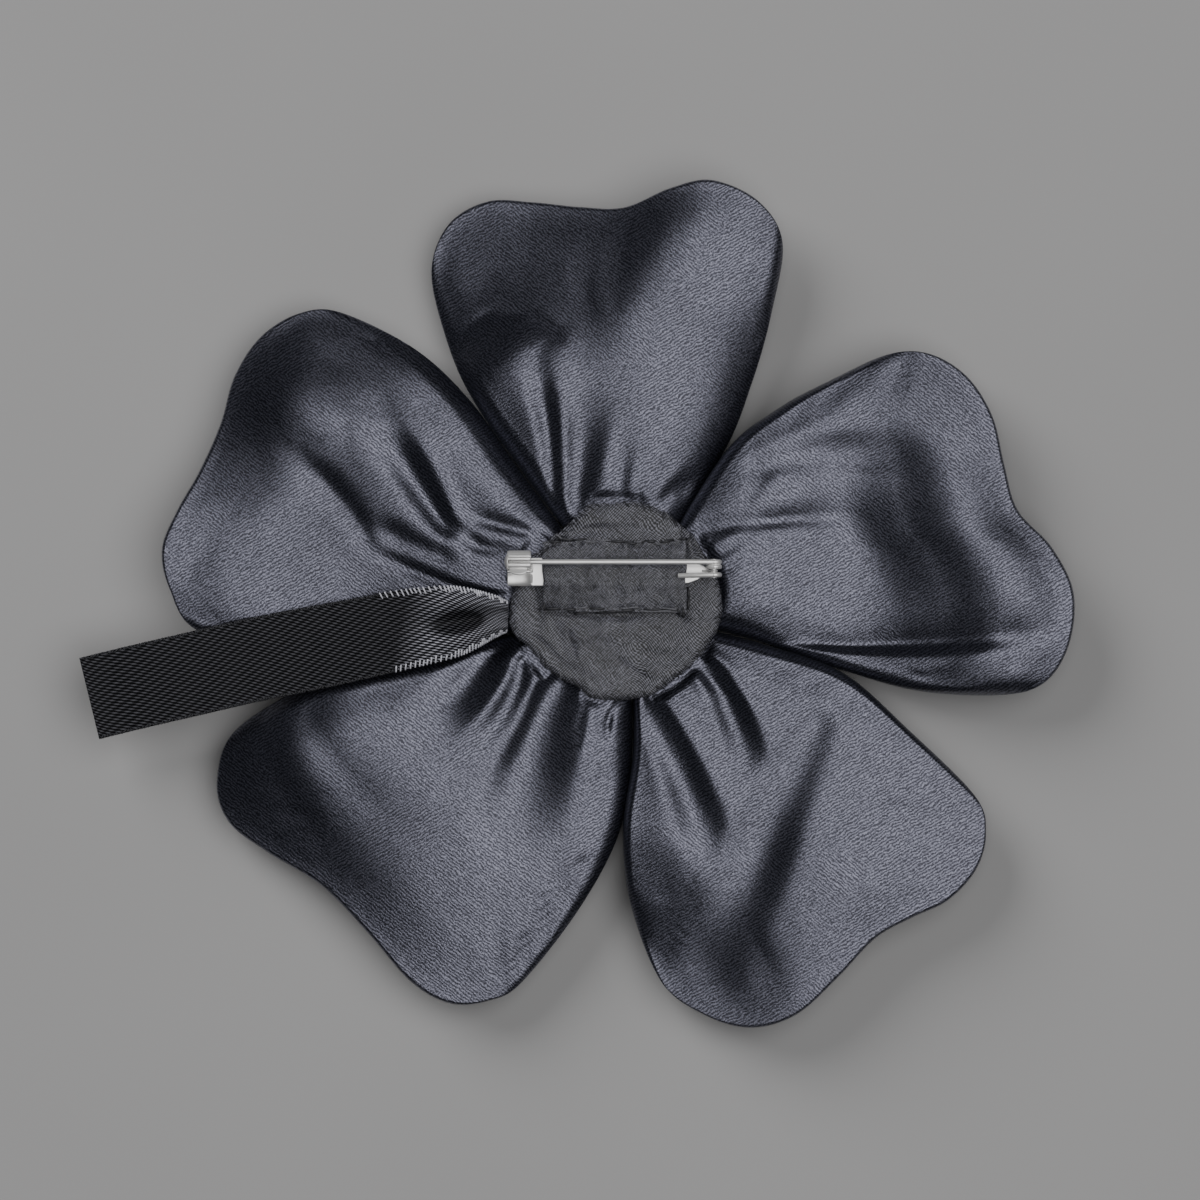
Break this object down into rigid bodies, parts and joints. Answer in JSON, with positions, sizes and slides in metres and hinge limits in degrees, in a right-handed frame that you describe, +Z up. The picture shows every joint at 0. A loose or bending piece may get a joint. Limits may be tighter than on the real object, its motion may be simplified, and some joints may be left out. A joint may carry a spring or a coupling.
{
  "type": "fabric flower brooch",
  "caption": "Padded satin flower brooch with two-lobed petals gathered under a round backing, a ribbon tail and a bar pin with a spring coil and rolling safety catch.",
  "frame": {"origin": "on the surface that the brooch lies on, below the middle of its outline", "axes": "+X along the pin from its catch to its coil, +Y towards the top petal, +Z up from the front that it lies on to the pin on its back"},
  "size_m": [0.1191, 0.1017, 0.0124],
  "materials": {
    "satin": "dark blue-grey satin with a soft sheen",
    "lining": "dull charcoal twill",
    "ribbon": "black ribbed satin ribbon with stitched selvedges",
    "nickel": "bright nickel plate, lightly brushed by pressing"
  },
  "bodies": {
    "root": {"petal_top": "satin", "petal_right": "satin", "petal_lower_right": "satin", "petal_lower_left": "satin", "petal_upper_left": "satin", "back_disc": "lining", "pin_strip": "lining", "ribbon_tail": "ribbon", "front_centre": "satin", "pin_bar": "nickel", "spring_tail": "nickel"},
    "stem": {"pin_stem": "nickel"},
    "roller": {"catch_roller": "nickel"}
  },
  "joints": [
    {"name": "stem_hinge", "type": "hinge", "parent": "root", "child": "stem", "pos_m": [0.01614, 0.00514, 0.01058], "axis": [0, 1, 0], "range_deg": [0, 70]},
    {"name": "catch_turn", "type": "hinge", "parent": "root", "child": "roller", "pos_m": [-0.00723, 0.00514, 0.0113], "axis": [-1, 0, 0], "range_deg": [0, 70]}
  ]
}
